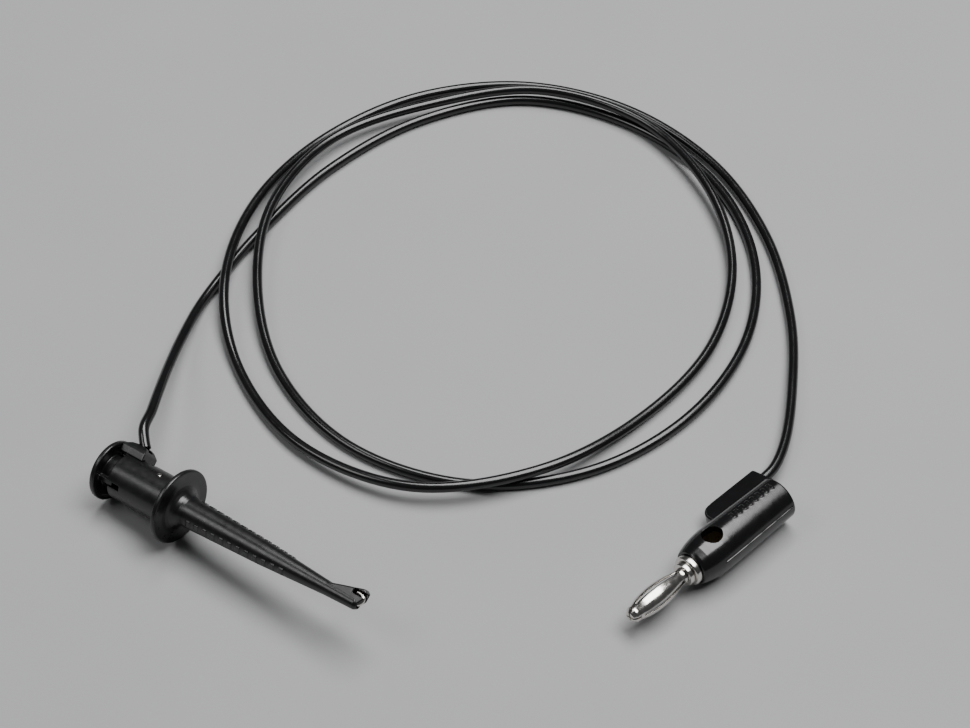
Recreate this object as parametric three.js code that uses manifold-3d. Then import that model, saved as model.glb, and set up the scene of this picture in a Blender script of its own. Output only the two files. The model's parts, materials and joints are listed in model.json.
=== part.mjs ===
// Test lead: a spring-loaded hook clip and a stackable 4 mm banana plug, joined by a thin
// insulated cord that lies in two and a half loose turns.
// Units are millimetres, +Z is up, and the lead lies on the plane z = 0.

import * as THREE from 'three';
import { mergeVertices } from 'three/addons/utils/BufferGeometryUtils.js';
import Module from 'manifold-3d';

const wasm = await Module();
wasm.setup();

// ---------------------------------------------------------------- driving dimensions

const SIDES = 32; // facets around a turned part
const GAP = 0.06; // running clearance between neighbouring pieces
const SEAM = { height: 0.14, width: 0.4 }; // raised parting line of a moulding

// Hook clip, measured along its own axis from the middle of the finger flange.
// +X runs to the tip, and +Y is the side that the wire boss and the beak stand on.
const TRAVEL = 1.9; // how far the nose sleeve draws back
const FLANGE_R = 7.15;
const FLANGE_HALF = 0.5;
const BARREL_R = 4.35;
const BARREL_BORE = 3.35;
const BARREL_REAR = -13.6;
const BARREL_BORE_END = -1.6;
const SPRING_POCKET_R = 1.8;
const SPRING_POCKET_END = 5.5;
const ROD_BORE = 0.62;
const NOSE_ROOT_R = 2.9;
const NOSE_COVE = 2.2; // radius of the hollow curve between the flange and the nose
const NOSE_MID = [20, 2.2];
const NOSE_NECK = [34.3, 1.3];
const NOSE_END = 41.2;
const CAP_R = 5.75;
const CAP_REAR = -16.7;
const CAP_FRONT = -15.6;
const STEM_R = 3.2;
const STEM_FRONT = -3.6;
const CHAMBER = { r: 1.7, from: -13.5, to: -8 };
const RAIL = { angles: [126, -126], from: CAP_FRONT, to: -12.7, width: 1.0, r: 4.0 };
const SLOT_END = RAIL.to + TRAVEL + GAP;
const BOSS = { halfWidth: 2.3, neck: 1.3, slotFront: -8.1, domeY: 4.0, domeR: 2.6 };
const BOSS_OUTLINE = [
  [-15.5, 3.4],
  [-15.5, 5.4],
  [-14.4, 6.2],
  [-12.4, 6.6],
  [-11.0, 6.2],
  [-10.2, 5.3],
  [-10.1, 4.5],
  [-10.1, 3.4],
];
const WIRE_MOUTH = [-12.75, 6.8]; // where the cord's axis leaves the boss
const WIRE_LEAN = 45; // degrees that the cord leans back from straight out
const SOLDER_X = -11.3; // where the conductor meets the rod's terminal
const STOP_PIN = { x: -4.9, angle: 43, r: 0.45, inner: 2.45, outer: 4.5 };
const GRIP_ROWS = [0, 139]; // degrees around the nose, from +Y
const GRIP = { first: 4.1, pitch: 1.88, count: 12, length: 1.0, width: 1.4, height: 0.12 };
const BEAK_THICK = 1.9;
const BEAK_OUTLINE = [
  [33.5, 0],
  [34.3, 1.0],
  [36.5, 1.65],
  [41.3, 2.95],
  [41.9, 2.5],
  [41.9, 1.1],
  [41.2, 0],
];
const HOOK = { r: 0.42, bend: 0.95, bendAt: 40.55, rear: -12.2, tail: 1.1 };
const SPRING = { r: 1.28, wire: 0.2, turns: 8, from: -3.1, to: 5.24 };

// Banana plug, measured along its own axis from the tip of the pin.
// +X runs to the rear, and +Y is the side of the finger fin.
const PIN_CORE_R = 0.9;
const PIN_CORE_END = 18.1;
const LEAVES = [
  [1.4, 1.5],
  [3.4, 2.05],
  [6.4, 2.3],
  [9.4, 2.05],
  [12.3, 1.5],
  [13.1, 1.5],
];
const LEAF_THICK = 0.28;
const LEAF_SLOT = { angles: [0, 90], from: 2.0, to: 12.5, width: 0.7 };
const COLLAR = { from: 13.2, to: 14.2, r: 2.25 };
const RING = { from: 14.26, to: 15.44, r: 2.9 };
const BODY_WIDEST = [22.0, 4.42];
const BODY_TAPER_END = [38.3, 4.1];
const BODY_OUTLINE = [
  [15.5, 3.25],
  [16.1, 3.55],
  [17.4, 3.92],
  [19.8, 4.32],
  BODY_WIDEST,
  BODY_TAPER_END,
  [38.6, 3.85],
];
const BODY_REAR = 38.6;
const BODY_RIB = { angle: 97, first: 26.4, pitch: 1.4, count: 8, length: 0.7, width: 1.6, height: 0.14 };
const SOCKET_CORE = { r: 2.9, front: 15.6, neck: 2.4, shoulder: 17.0, rear: 34.5 };
const JACK_R = 2.05; // bore that takes a second 4 mm plug
const JACK_FROM = 24.2;
const CROSS_HOLE = { x: 21.1, r: 1.95, angle: 100 }; // degrees around the body, from +Y
const FIN = { from: 26.2, to: 41.0, reach: 8.3, thick: 3.2, nose: 3.0, tail: 0.5 };
const WIRE_CHANNEL = { y: 6.2, r: 1.15, to: 33.0 };
const CONDUCTOR_R = 0.5;
const FERRULE = { from: 34.6, to: 37.0, r: 0.95 };

// Where the two ends lie on the table.
const CLIP_AT = new THREE.Vector2(-46.91, 5.34);
const CLIP_HEADING = -36.24;
const CLIP_ROLL = 30;
const CLIP_PITCH = Math.atan2(FLANGE_R - CAP_R, -CAP_REAR);
const PLUG_AT = new THREE.Vector2(32.91, -17.05);
const PLUG_HEADING = 43.55;
const PLUG_ROLL = -19;
const PLUG_HEIGHT = 4.41;

// Cord
const CORD_R = 1.0;
const CORD_SIDES = 8;
const CORD_STEPS = 80;
const CORD_ROUTE = [
  [-53.72, 17.03, 9.23], [-54, 18.14, 9.58],
  [-54.35, 21, 10.25], [-53.5, 25.5, 9.7], [-52.8, 32, 8.3],
  [-52, 40.5, 5.7], [-50.5, 50.5, 3.1], [-48, 60.5, 1.4], [-43.5, 70.5, 1.1],
  [-38, 80.5, 1.05], [-24.5, 99.5, 1.05], [-6, 114.5, 1.05], [16, 121, 1.05],
  [38, 113.5, 1.05], [54.5, 96.5, 1.05], [61.5, 74.5, 1.05], [58.5, 51.5, 1.05],
  [46, 31.5, 1.05], [27, 18.5, 1.05], [4, 15.5, 1.05], [-17.5, 24.5, 1.1],
  [-31.5, 42.5, 1.3], [-37, 64, 2.6], [-35.5, 86.5, 3.4], [-24, 107, 2.8],
  [-3, 118, 2.8], [19.5, 121.5, 3.4], [40.5, 112, 3.4], [53, 93, 3.2],
  [57, 71.5, 2], [51.5, 49.5, 1.3], [37, 31, 1.4], [17.5, 17, 3.1],
  [-5.5, 13, 3.3], [-26.5, 24, 1.9], [-39.5, 44, 1.4], [-43.5, 64.5, 3.4],
  [-39, 88, 2.7], [-26, 108.5, 1.4], [-6.5, 122, 1.1], [16.5, 125.5, 1.05],
  [38, 118, 1.05], [55, 101.5, 1.05], [64.5, 80, 1.1], [67.5, 56.5, 1.3],
  [66, 37.5, 1.9], [63.5, 24.5, 2.3], [61, 18.3, 2.4],
  [58.95, 15.79, 2.4], [58.16, 15.04, 2.39],
];

// ---------------------------------------------------------------- helpers

const radians = THREE.MathUtils.degToRad;

// A closed mesh's triangles, without normals and without the flat ones at a lathe's poles.
function bare(geometry) {
  const copy = geometry.clone();
  copy.deleteAttribute('normal');
  copy.deleteAttribute('uv');
  const merged = mergeVertices(copy, 1e-5);
  const corners = merged.index.array;
  const kept = [];
  for (let i = 0; i < corners.length; i += 3) {
    const [a, b, c] = [corners[i], corners[i + 1], corners[i + 2]];
    if (a !== b && b !== c && c !== a) kept.push(a, b, c);
  }
  merged.setIndex(kept);
  return merged;
}

function toSolid(geometry) {
  const mesh = bare(geometry);
  return new wasm.Manifold(new wasm.Mesh({
    numProp: 3,
    vertProperties: new Float32Array(mesh.attributes.position.array),
    triVerts: new Uint32Array(mesh.index.array),
  }));
}

function toGeometry(solid) {
  const mesh = solid.getMesh();
  const geometry = new THREE.BufferGeometry();
  geometry.setAttribute('position', new THREE.BufferAttribute(mesh.vertProperties, 3));
  geometry.setIndex(new THREE.BufferAttribute(mesh.triVerts, 1));
  geometry.computeVertexNormals();
  return geometry;
}

// A part turned about X from [x, radius] pairs. An open profile is closed through the axis.
function turned(profile, closed = false, sides = SIDES) {
  const points = profile.map(([x, r]) => new THREE.Vector2(r, x));
  if (closed) {
    points.push(points[0].clone());
  } else {
    points.unshift(new THREE.Vector2(0, points[0].y));
    points.push(new THREE.Vector2(0, points[points.length - 1].y));
  }
  const geometry = new THREE.LatheGeometry(points, sides);
  geometry.rotateZ(-Math.PI / 2);
  return geometry;
}

// A ring or tube about X.
function tube(from, to, inner, outer) {
  return turned([[from, outer], [to, outer], [to, inner], [from, inner]], true);
}

// A round bar from one point to another.
function bar(start, end, radius, sides = 16) {
  const a = new THREE.Vector3(...start);
  const b = new THREE.Vector3(...end);
  const along = b.clone().sub(a);
  const geometry = new THREE.CylinderGeometry(radius, radius, along.length(), sides);
  const turn = new THREE.Quaternion().setFromUnitVectors(
    new THREE.Vector3(0, 1, 0), along.clone().normalize());
  geometry.applyQuaternion(turn);
  geometry.translate(...a.add(b).multiplyScalar(0.5).toArray());
  return geometry;
}

// A plate cut to an XY outline, centred on z = 0.
function plate(outline, thickness) {
  const shape = outline instanceof THREE.Shape
    ? outline
    : new THREE.Shape(outline.map(([x, y]) => new THREE.Vector2(x, y)));
  const options = { depth: thickness, bevelEnabled: false, curveSegments: 8 };
  const geometry = new THREE.ExtrudeGeometry(shape, options);
  geometry.translate(0, 0, -thickness / 2);
  return geometry;
}

// A block that lies along X at some radius, turned about X by an angle from +Y.
function radialBlock(from, to, inner, outer, width, angle) {
  const geometry = new THREE.BoxGeometry(to - from, outer - inner, width);
  geometry.translate((from + to) / 2, (inner + outer) / 2, 0);
  geometry.rotateX(radians(angle));
  return geometry;
}

function joined(first, ...others) {
  return others.reduce((sum, piece) => sum.add(toSolid(piece)), toSolid(first));
}

function cut(solid, ...tools) {
  return tools.reduce((rest, tool) => rest.subtract(toSolid(tool)), solid);
}

const plastic = new THREE.MeshStandardMaterial({ color: 0x0b0b0c, roughness: 0.42 });
const jacket = new THREE.MeshStandardMaterial({ color: 0x0a0a0b, roughness: 0.5 });
const nickel = new THREE.MeshStandardMaterial({ color: 0xc9c8c4, roughness: 0.2, metalness: 1 });
const brass = new THREE.MeshStandardMaterial({ color: 0xb08d45, roughness: 0.35, metalness: 1 });
const steel = new THREE.MeshStandardMaterial({ color: 0x9a9a9c, roughness: 0.3, metalness: 1 });
const copper = new THREE.MeshStandardMaterial({ color: 0xb87048, roughness: 0.4, metalness: 1 });

function named(name, geometry, material) {
  const mesh = new THREE.Mesh(geometry, material);
  mesh.name = name;
  return mesh;
}

// ---------------------------------------------------------------- hook clip

// The nose's radius, which tapers in two steps.
function noseRadius(x) {
  const [start, end] = x < NOSE_MID[0] ? [[0, NOSE_ROOT_R], NOSE_MID] : [NOSE_MID, NOSE_NECK];
  return THREE.MathUtils.mapLinear(x, start[0], end[0], start[1], end[1]);
}

// Nose, finger flange and barrel are one moulding, bored through for the plunger and the rod.
function noseSleeve() {
  const cove = [0, 30, 60, 90].map((angle) => [
    FLANGE_HALF + NOSE_COVE * (1 - Math.cos(radians(angle))),
    NOSE_ROOT_R + NOSE_COVE * (1 - Math.sin(radians(angle))),
  ]);
  const outside = turned([
    [BARREL_REAR, BARREL_R - 0.15],
    [BARREL_REAR + 0.15, BARREL_R],
    [-FLANGE_HALF - 0.3, BARREL_R],
    [-FLANGE_HALF, BARREL_R + 0.3],
    [-FLANGE_HALF, FLANGE_R - 0.35],
    [-FLANGE_HALF + 0.3, FLANGE_R],
    [FLANGE_HALF - 0.3, FLANGE_R],
    [FLANGE_HALF, FLANGE_R - 0.35],
    ...cove,
    NOSE_MID,
    NOSE_NECK,
    [NOSE_END - 0.4, 1.15],
    [NOSE_END, 0.85],
  ]);
  const bores = turned([
    [BARREL_REAR - 1, BARREL_BORE],
    [BARREL_BORE_END, BARREL_BORE],
    [BARREL_BORE_END, SPRING_POCKET_R],
    [SPRING_POCKET_END, SPRING_POCKET_R],
    [SPRING_POCKET_END, ROD_BORE],
    [NOSE_END + 2, ROD_BORE],
  ]);
  const ribs = [];
  for (const angle of GRIP_ROWS) {
    for (let i = 0; i < GRIP.count; i += 1) {
      const x = GRIP.first + i * GRIP.pitch;
      const surface = noseRadius(x + GRIP.length / 2);
      const top = surface + GRIP.height;
      ribs.push(radialBlock(x, x + GRIP.length, surface - 0.6, top, GRIP.width, angle));
    }
  }
  const seam = radialBlock(
    BOSS.slotFront - 2, 0, BARREL_R - 0.3, BARREL_R + SEAM.height, SEAM.width, 180);
  const body = joined(outside, plate(BEAK_OUTLINE, BEAK_THICK), seam, ...ribs);
  const rails = RAIL.angles.map((angle) => radialBlock(
    BARREL_REAR - 1, SLOT_END, BARREL_BORE - 0.6, BARREL_R + 1, RAIL.width + 2 * GAP, angle));
  const bossSlot = radialBlock(
    BARREL_REAR - 1, BOSS.slotFront, BARREL_BORE - 0.6, BARREL_R + 1, 2 * (BOSS.neck + GAP), 0);
  const pinHole = radialBar(STOP_PIN.x, STOP_PIN.angle, 3, 6, STOP_PIN.r + GAP);
  const hookMouth = 2 * (HOOK.r + GAP);
  const hookRoom = new THREE.BoxGeometry(4, 2 * HOOK.bend + hookMouth, hookMouth);
  hookRoom.translate(HOOK.bendAt + HOOK.bend - HOOK.r - GAP + 2, HOOK.bend, 0);
  const hookGroove = new THREE.BoxGeometry(4, hookMouth, hookMouth + BEAK_THICK);
  hookGroove.translate(HOOK.bendAt - HOOK.tail - GAP + 2, 2 * HOOK.bend, BEAK_THICK / 2);
  return cut(body, bores, ...rails, bossSlot, pinHole, hookRoom, hookGroove);
}

// A round bar that stands out from the X axis.
function radialBar(x, angle, inner, outer, radius, sides = 16) {
  const geometry = bar([x, inner, 0], [x, outer, 0], radius, sides);
  geometry.rotateX(radians(angle));
  return geometry;
}

// The thumb cap, with the hollow stem that slides in the barrel.
function thumbPlunger() {
  const outside = turned([
    [CAP_REAR, CAP_R - 0.4],
    [CAP_REAR + 0.2, CAP_R - 0.1],
    [CAP_REAR + 0.45, CAP_R],
    [CAP_FRONT - 0.25, CAP_R],
    [CAP_FRONT, CAP_R - 0.25],
    [CAP_FRONT, CAP_R - 0.8],
    [CAP_FRONT - 0.2, CAP_R - 1.0],
    [CAP_FRONT - 0.2, STEM_R],
    [STEM_FRONT, STEM_R],
    [STEM_FRONT, 0.75],
    [CHAMBER.to, 0.75],
    [CHAMBER.to, CHAMBER.r],
    [CHAMBER.from, CHAMBER.r],
  ]);
  const rails = RAIL.angles.map((angle) => radialBlock(
    RAIL.from - 0.4, RAIL.to, STEM_R - 0.6, RAIL.r, RAIL.width, angle));
  const wireHole = bar([SOLDER_X, 0, 0], [SOLDER_X, STEM_R + 1, 0], CONDUCTOR_R + 0.3);
  const stopFront = STOP_PIN.x + STOP_PIN.r + GAP;
  const stopRear = STOP_PIN.x - STOP_PIN.r - TRAVEL - GAP;
  const groove = radialBlock(
    stopRear, stopFront, STOP_PIN.inner - GAP, STEM_R + 1, 2 * (STOP_PIN.r + GAP), STOP_PIN.angle);
  return cut(joined(outside, ...rails), wireHole, groove);
}

// The cover over the soldered joint. Its neck fills the slot in the barrel, its domed roof
// stands clear of the barrel, and the cord leans back out of its top.
function wireBoss() {
  const lean = new THREE.Vector2(-Math.sin(radians(WIRE_LEAN)), Math.cos(radians(WIRE_LEAN)));
  const mouth = new THREE.Vector2(...WIRE_MOUTH);
  const outer = mouth.clone().addScaledVector(lean, 2);
  const inner = mouth.clone().addScaledVector(lean, -2.1);
  const roof = cut(
    toSolid(plate(BOSS_OUTLINE, 2 * BOSS.halfWidth)),
    bar([BARREL_REAR - 4, 0, 0], [0, 0, 0], BARREL_R + 2 * GAP, SIDES));
  const neck = cut(
    toSolid(plate(BOSS_OUTLINE, 2 * BOSS.neck)),
    bar([BARREL_REAR - 4, 0, 0], [0, 0, 0], STEM_R + GAP, SIDES));
  const dome = bar([BARREL_REAR - 4, BOSS.domeY, 0], [0, BOSS.domeY, 0], BOSS.domeR, SIDES);
  const channel = bar([outer.x, outer.y, 0], [inner.x, inner.y, 0], CORD_R + 0.15);
  const wireHole = bar([SOLDER_X, 2, 0], [SOLDER_X, inner.y + 0.3, 0], CONDUCTOR_R + 0.3);
  return cut(roof.add(neck).intersect(toSolid(dome)), channel, wireHole);
}

// One wire: a straight rod on the axis, a half-round hook at the tip, and its short tail.
function hookRod() {
  const rod = bar([HOOK.rear, 0, 0], [HOOK.bendAt + 0.01, 0, 0], HOOK.r, 12);
  const half = [];
  for (let i = 0; i <= 8; i += 1) {
    const angle = -Math.PI / 2 + (i * Math.PI) / 8;
    half.push(new THREE.Vector3(
      HOOK.bendAt + HOOK.bend * Math.cos(angle), HOOK.bend + HOOK.bend * Math.sin(angle), 0));
  }
  half.push(new THREE.Vector3(HOOK.bendAt - HOOK.tail, 2 * HOOK.bend, 0));
  const bend = swept(new THREE.CatmullRomCurve3(half, false, 'centripetal'), HOOK.r, 12, 22);
  return joined(rod, bend);
}

// A round section swept along a curve.
function swept(curve, radius, sides, steps) {
  const section = new THREE.Shape();
  for (let i = 0; i < sides; i += 1) {
    const angle = (2 * Math.PI * i) / sides;
    const [x, y] = [radius * Math.cos(angle), radius * Math.sin(angle)];
    if (i === 0) section.moveTo(x, y);
    else section.lineTo(x, y);
  }
  section.closePath();
  return new THREE.ExtrudeGeometry(section, { steps, bevelEnabled: false, extrudePath: curve });
}

class Helix extends THREE.Curve {
  getPoint(t, target = new THREE.Vector3()) {
    const angle = 2 * Math.PI * SPRING.turns * t;
    const x = THREE.MathUtils.lerp(SPRING.from, SPRING.to, t);
    return target.set(x, SPRING.r * Math.cos(angle), SPRING.r * Math.sin(angle));
  }
}

function solderTerminal() {
  const sleeve = turned([[HOOK.rear - 0.3, 1.3], [-9.7, 1.3]]);
  const socket = bar([HOOK.rear - GAP, 0, 0], [-9, 0, 0], HOOK.r + GAP, 12);
  return cut(toSolid(sleeve), socket);
}

function hookClip() {
  const clip = new THREE.Group();
  const spring = swept(new Helix(), SPRING.wire, 6, SPRING.turns * 12);
  const washer = tube(STEM_FRONT + GAP, SPRING.from - SPRING.wire - GAP, 0.6, 1.7);
  const pin = radialBar(STOP_PIN.x, STOP_PIN.angle, STOP_PIN.inner, STOP_PIN.outer, STOP_PIN.r);
  const tail = bar([SOLDER_X, 1.3 + GAP, 0], [SOLDER_X, 5.0, 0], CONDUCTOR_R, 12);
  clip.add(named('nose_sleeve', toGeometry(noseSleeve()), plastic));
  clip.add(named('thumb_plunger', toGeometry(thumbPlunger()), plastic));
  clip.add(named('wire_boss', toGeometry(wireBoss()), plastic));
  clip.add(named('hook_rod', toGeometry(hookRod()), nickel));
  clip.add(named('solder_terminal', toGeometry(solderTerminal()), brass));
  clip.add(named('hook_conductor', tail, copper));
  clip.add(named('return_spring', spring, steel));
  clip.add(named('spring_washer', washer, steel));
  clip.add(named('stop_pin', pin, nickel));
  clip.position.set(CLIP_AT.x, CLIP_AT.y, clipHeight());
  clip.rotation.set(radians(CLIP_ROLL), -CLIP_PITCH, radians(CLIP_HEADING), 'ZYX');
  return clip;
}

// The flange's centre stands high enough for its lower rim to rest on the table.
function clipHeight() {
  return FLANGE_R * Math.cos(CLIP_PITCH) + (FLANGE_HALF - 0.3) * Math.sin(CLIP_PITCH);
}

// ---------------------------------------------------------------- banana plug

// Core and rounded nose of the pin, which holds the leaves' front ends.
function contactPin() {
  return turned([
    [0, 0.45],
    [0.2, 0.95],
    [0.6, 1.35],
    [1.0, 1.55],
    [1.3, 1.55],
    [1.3, PIN_CORE_R],
    [PIN_CORE_END, PIN_CORE_R],
  ]);
}

// Four bulged leaves, joined at both ends.
function leafBasket() {
  const inside = LEAVES.map(([x, r]) => [x, r - LEAF_THICK]).reverse();
  const shell = turned([...LEAVES, ...inside], true);
  const length = LEAF_SLOT.to - LEAF_SLOT.from;
  const slots = LEAF_SLOT.angles.map((angle) => {
    const slot = new THREE.BoxGeometry(length, 6, LEAF_SLOT.width);
    slot.translate(LEAF_SLOT.from + length / 2, 0, 0);
    slot.rotateX(radians(angle));
    return slot;
  });
  return cut(toSolid(shell), ...slots);
}

// The hole through the plug's side, which takes a second plug.
function crossHole() {
  return radialBar(CROSS_HOLE.x, CROSS_HOLE.angle, -6, 6, CROSS_HOLE.r, SIDES);
}

// The turned brass part that both jack bores are drilled in.
function socketCore() {
  const outside = turned([
    [SOCKET_CORE.front, SOCKET_CORE.neck],
    [SOCKET_CORE.shoulder, SOCKET_CORE.neck],
    [SOCKET_CORE.shoulder, SOCKET_CORE.r],
    [SOCKET_CORE.rear, SOCKET_CORE.r],
  ]);
  const stud = bar([0, 0, 0], [PIN_CORE_END + GAP, 0, 0], PIN_CORE_R + GAP);
  const jack = bar([JACK_FROM, 0, 0], [BODY_REAR, 0, 0], JACK_R, SIDES);
  return cut(toSolid(outside), stud, jack, crossHole());
}

// The finger fin beside the round body, which the cord runs into.
function finShape() {
  const shape = new THREE.Shape();
  shape.moveTo(FIN.from, 0);
  shape.lineTo(FIN.from, FIN.reach - FIN.nose);
  shape.absarc(FIN.from + FIN.nose, FIN.reach - FIN.nose, FIN.nose, Math.PI, Math.PI / 2, true);
  shape.lineTo(FIN.to - FIN.tail, FIN.reach);
  shape.absarc(FIN.to - FIN.tail, FIN.reach - FIN.tail, FIN.tail, Math.PI / 2, 0, true);
  shape.lineTo(FIN.to, 3.2);
  shape.lineTo(BODY_REAR - 0.2, 3.2);
  shape.lineTo(BODY_REAR - 0.2, 0);
  shape.closePath();
  return shape;
}

function plugBody() {
  const seamLine = BODY_OUTLINE.slice(3, 6).map(([x, r]) => [x, -r - SEAM.height]);
  const seam = plate([[BODY_OUTLINE[3][0], -4], ...seamLine, [BODY_OUTLINE[5][0], -3.6]], SEAM.width);
  const ribs = [];
  for (let i = 0; i < BODY_RIB.count; i += 1) {
    const x = BODY_RIB.first + i * BODY_RIB.pitch;
    const skin = THREE.MathUtils.mapLinear(
      x, BODY_WIDEST[0], BODY_TAPER_END[0], BODY_WIDEST[1], BODY_TAPER_END[1]);
    ribs.push(radialBlock(
      x, x + BODY_RIB.length, skin - 0.4, skin + BODY_RIB.height, BODY_RIB.width, BODY_RIB.angle));
  }
  const body = joined(turned(BODY_OUTLINE), plate(finShape(), FIN.thick), seam, ...ribs);
  const room = turned([
    [SOCKET_CORE.front - 1, SOCKET_CORE.neck + GAP],
    [SOCKET_CORE.shoulder - GAP, SOCKET_CORE.neck + GAP],
    [SOCKET_CORE.shoulder - GAP, SOCKET_CORE.r + GAP],
    [SOCKET_CORE.rear + GAP, SOCKET_CORE.r + GAP],
    [SOCKET_CORE.rear + GAP, JACK_R + 0.2],
    [FIN.to + 1, JACK_R + 0.2],
  ]);
  const channel = bar(
    [WIRE_CHANNEL.to, WIRE_CHANNEL.y, 0], [FIN.to + 1, WIRE_CHANNEL.y, 0], WIRE_CHANNEL.r);
  const wireHole = bar(
    [WIRE_CHANNEL.to + 0.9, 0, 0], [WIRE_CHANNEL.to + 0.9, WIRE_CHANNEL.y, 0], CONDUCTOR_R + 0.2);
  return cut(body, room, crossHole(), channel, wireHole);
}

function plugConductor() {
  const { y, to } = WIRE_CHANNEL;
  const across = bar([to + 0.4, y, 0], [FERRULE.to + 0.8, y, 0], CONDUCTOR_R, 12);
  const down = bar([to + 0.9, SOCKET_CORE.r + GAP, 0], [to + 0.9, y, 0], CONDUCTOR_R - 0.02, 12);
  return joined(across, down);
}

function bananaPlug() {
  const plug = new THREE.Group();
  const ferrule = tube(FERRULE.from, FERRULE.to, CONDUCTOR_R + GAP, FERRULE.r);
  ferrule.translate(0, WIRE_CHANNEL.y, 0);
  const collar = tube(COLLAR.from, COLLAR.to, PIN_CORE_R + GAP, COLLAR.r);
  const ring = turned([
    [RING.from, PIN_CORE_R + GAP],
    [RING.from, RING.r - 0.3],
    [RING.from + 0.3, RING.r],
    [RING.to, RING.r],
    [RING.to, PIN_CORE_R + GAP],
  ], true);
  plug.add(named('plug_body', toGeometry(plugBody()), plastic));
  plug.add(named('contact_pin', toGeometry(toSolid(contactPin())), nickel));
  plug.add(named('leaf_basket', toGeometry(leafBasket()), nickel));
  plug.add(named('pin_collar', collar, nickel));
  plug.add(named('retaining_ring', ring, nickel));
  plug.add(named('socket_core', toGeometry(socketCore()), brass));
  plug.add(named('crimp_ferrule', ferrule, copper));
  plug.add(named('plug_conductor', toGeometry(plugConductor()), copper));
  plug.position.set(PLUG_AT.x, PLUG_AT.y, PLUG_HEIGHT);
  plug.rotation.set(radians(PLUG_ROLL), 0, radians(PLUG_HEADING), 'ZYX');
  return plug;
}

// ---------------------------------------------------------------- cord

function cord() {
  const points = CORD_ROUTE.map((point) => new THREE.Vector3(...point));
  const curve = new THREE.CatmullRomCurve3(points, false, 'centripetal');
  return named('test_cord', swept(curve, CORD_R, CORD_SIDES, CORD_STEPS), jacket);
}

const lead = new THREE.Group();
lead.add(hookClip(), bananaPlug(), cord());

export default lead;
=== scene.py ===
"""Test lead on a pale table: a sprung hook clip and a stackable banana plug on a coiled cord.

Pieces are shaped in millimetres, each in the frame of the end that it belongs to. X runs along
that end's axis. The clip's X runs to its tip, and its Y to the side of the wire boss and the beak.
The plug's X runs to its rear, and its Y to the side of the fin.
They are then placed in metres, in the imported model's frame.
"""

import json
import math

import bmesh
import bpy
from mathutils import Euler, Matrix, Vector


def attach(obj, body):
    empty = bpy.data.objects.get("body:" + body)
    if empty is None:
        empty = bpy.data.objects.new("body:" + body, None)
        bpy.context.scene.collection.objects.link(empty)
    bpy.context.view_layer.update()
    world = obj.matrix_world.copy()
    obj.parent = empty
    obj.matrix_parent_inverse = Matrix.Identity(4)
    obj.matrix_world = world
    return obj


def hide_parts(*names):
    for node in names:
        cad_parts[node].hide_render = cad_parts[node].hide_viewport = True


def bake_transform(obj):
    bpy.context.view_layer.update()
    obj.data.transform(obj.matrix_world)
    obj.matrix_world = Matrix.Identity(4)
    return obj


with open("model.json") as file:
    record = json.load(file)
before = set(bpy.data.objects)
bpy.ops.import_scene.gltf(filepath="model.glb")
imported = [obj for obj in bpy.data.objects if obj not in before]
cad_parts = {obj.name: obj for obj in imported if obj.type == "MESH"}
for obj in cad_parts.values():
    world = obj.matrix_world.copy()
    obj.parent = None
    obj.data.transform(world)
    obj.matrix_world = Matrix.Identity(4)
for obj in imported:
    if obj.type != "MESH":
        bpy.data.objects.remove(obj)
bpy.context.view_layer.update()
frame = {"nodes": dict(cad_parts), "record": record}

MM = 0.001
LEAD = "lead"
SLEEVE = "sleeve"
MOUNTS = {mount["name"]: mount for mount in frame["record"]["mounts"]}

# ---------------------------------------------------------------- view

VIEW_CENTRE = Vector((0.0078, 0.0460, 0.0))
VIEW_ELEVATION = 48
VIEW_DISTANCE = 0.45
VIEW_LENS = 86.7


def add_camera():
    data = bpy.data.cameras.new("camera")
    data.lens = VIEW_LENS
    data.sensor_width = 36
    data.clip_start = 0.01
    camera = bpy.data.objects.new("camera", data)
    bpy.context.scene.collection.objects.link(camera)
    elevation = math.radians(VIEW_ELEVATION)
    back = Vector((0, -math.cos(elevation), math.sin(elevation)))
    camera.location = VIEW_CENTRE + VIEW_DISTANCE * back
    camera.rotation_euler = (math.pi / 2 - elevation, 0, 0)
    bpy.context.scene.camera = camera


def add_panel(name, toward, distance, width, height, power):
    """A soft rectangular light that faces the middle of the view."""
    data = bpy.data.lights.new(name, "AREA")
    data.shape = "RECTANGLE"
    data.size = width
    data.size_y = height
    data.energy = power
    panel = bpy.data.objects.new(name, data)
    bpy.context.scene.collection.objects.link(panel)
    direction = Vector(toward).normalized()
    panel.location = VIEW_CENTRE + distance * direction
    panel.rotation_euler = direction.to_track_quat("Z", "Y").to_euler()


def add_studio():
    add_panel("overhead_panel", (0.25, 0.2, 1.0), 1.05, 1.1, 0.6, 20)
    add_panel("left_panel", (-0.8, -0.12, 1.0), 1.25, 0.6, 0.45, 3.2)
    world = bpy.data.worlds.new("world")
    world.use_nodes = True
    world.node_tree.nodes["Background"].inputs["Color"].default_value = (0.62, 0.63, 0.65, 1)
    world.node_tree.nodes["Background"].inputs["Strength"].default_value = 0.1
    bpy.context.scene.world = world


# ---------------------------------------------------------------- materials


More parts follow.
